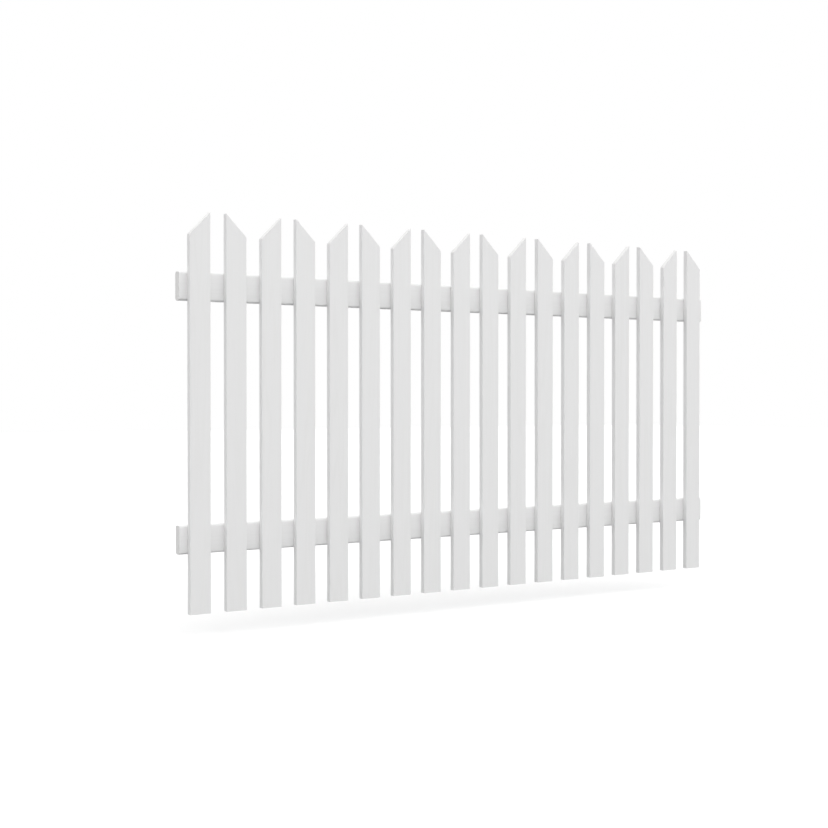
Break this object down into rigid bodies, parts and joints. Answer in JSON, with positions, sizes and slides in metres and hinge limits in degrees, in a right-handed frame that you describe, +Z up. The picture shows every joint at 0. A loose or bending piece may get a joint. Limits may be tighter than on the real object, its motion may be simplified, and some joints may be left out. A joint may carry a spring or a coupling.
{
  "type": "picket fence panel",
  "caption": "White painted timber fence panel: upright pickets in mirrored pairs with mitred tops, fixed to the front of a top and a bottom rail.",
  "frame": {"origin": "centre of the top rail's left end face, which goes against a post", "axes": "+X along the panel to the right seen from its front, +Y from the pickets' front to the rails' back, +Z up"},
  "size_m": [1.8, 0.038, 1],
  "materials": {
    "picket_paint": "satin white paint",
    "rail_paint": "satin white paint"
  },
  "bodies": {
    "root": {"picket_01": "picket_paint", "picket_02": "picket_paint", "picket_03": "picket_paint", "picket_04": "picket_paint", "picket_05": "picket_paint", "picket_06": "picket_paint", "picket_07": "picket_paint", "picket_08": "picket_paint", "picket_09": "picket_paint", "picket_10": "picket_paint", "picket_11": "picket_paint", "picket_12": "picket_paint", "picket_13": "picket_paint", "picket_14": "picket_paint", "picket_15": "picket_paint", "picket_16": "picket_paint", "picket_17": "picket_paint", "picket_18": "picket_paint", "top_rail": "rail_paint", "bottom_rail": "rail_paint"}
  },
  "joints": []
}
